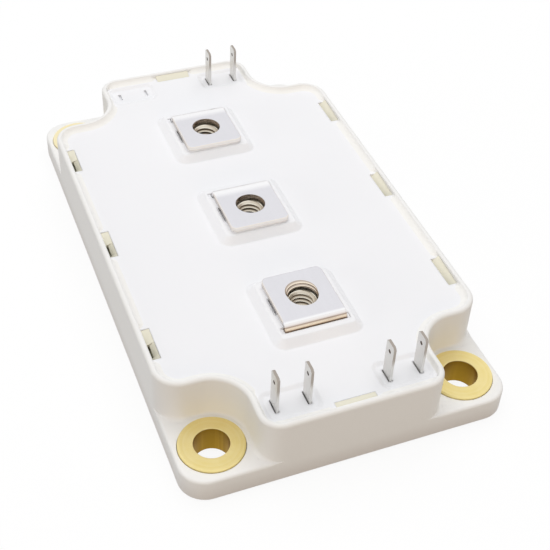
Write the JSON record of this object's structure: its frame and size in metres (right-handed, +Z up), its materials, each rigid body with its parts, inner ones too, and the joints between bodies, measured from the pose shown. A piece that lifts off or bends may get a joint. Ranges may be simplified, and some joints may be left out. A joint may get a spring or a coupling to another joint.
{
  "type": "power mosfet module",
  "caption": "Low-profile half-bridge power MOSFET module in a white moulded housing with brass corner bushings, screw terminals along its middle and upright signal tabs.",
  "frame": {"origin": "centre of the footprint on the mounting plane", "axes": "+X across the width to the right, +Y along the length to the rear, +Z up"},
  "size_m": [0.062, 0.108, 0.021],
  "materials": {
    "housing": "warm white moulded plastic",
    "lid": "white moulded plastic",
    "plate": "nickel-plated copper",
    "brass": "turned brass",
    "terminal": "bright nickel-plated copper",
    "nut": "plated steel",
    "tab": "tin-plated brass",
    "ribbon": "bonded aluminium ribbon",
    "copper": "bare copper",
    "ceramic": "white alumina ceramic",
    "chip": "polished silicon",
    "gel": "clear silicone gel"
  },
  "bodies": {
    "root": {"base_plate": "plate", "bushing_front_left": "brass", "bushing_front_right": "brass", "bushing_rear_left": "brass", "bushing_rear_right": "brass", "front_back_foil": "copper", "front_ceramic": "ceramic", "front_chip_1": "chip", "front_chip_2": "chip", "front_chip_3": "chip", "front_chip_4": "chip", "front_drain_foil": "copper", "front_gate_foil": "copper", "front_gate_ribbons": "ribbon", "front_sense_foils": "copper", "front_source_foil": "copper", "front_source_ribbon_1": "ribbon", "front_source_ribbon_2": "ribbon", "front_source_ribbon_3": "ribbon", "front_source_ribbon_4": "ribbon", "housing_frame": "housing", "lid": "lid", "link_left": "copper", "link_right": "copper", "nut_front": "nut", "nut_middle": "nut", "nut_rear": "nut", "rear_back_foil": "copper", "rear_ceramic": "ceramic", "rear_chip_1": "chip", "rear_chip_2": "chip", "rear_chip_3": "chip", "rear_chip_4": "chip", "rear_drain_foil": "copper", "rear_gate_foil": "copper", "rear_gate_ribbons": "ribbon", "rear_source_foil": "copper", "rear_source_ribbon_1": "ribbon", "rear_source_ribbon_2": "ribbon", "rear_source_ribbon_3": "ribbon", "rear_source_ribbon_4": "ribbon", "silicone_gel": "gel", "tab_front_left_inner": "tab", "tab_front_left_outer": "tab", "tab_front_right_inner": "tab", "tab_front_right_outer": "tab", "tab_rear_right_inner": "tab", "tab_rear_right_outer": "tab", "tab_ribbon_front_left_inner": "ribbon", "tab_ribbon_front_left_outer": "ribbon", "tab_ribbon_front_right_inner": "ribbon", "tab_ribbon_front_right_outer": "ribbon", "tab_ribbon_rear_right_inner": "ribbon", "tab_ribbon_rear_right_outer": "ribbon", "temperature_sensor": "chip", "terminal_front": "terminal", "terminal_middle": "terminal", "terminal_rear": "terminal"}
  },
  "joints": []
}
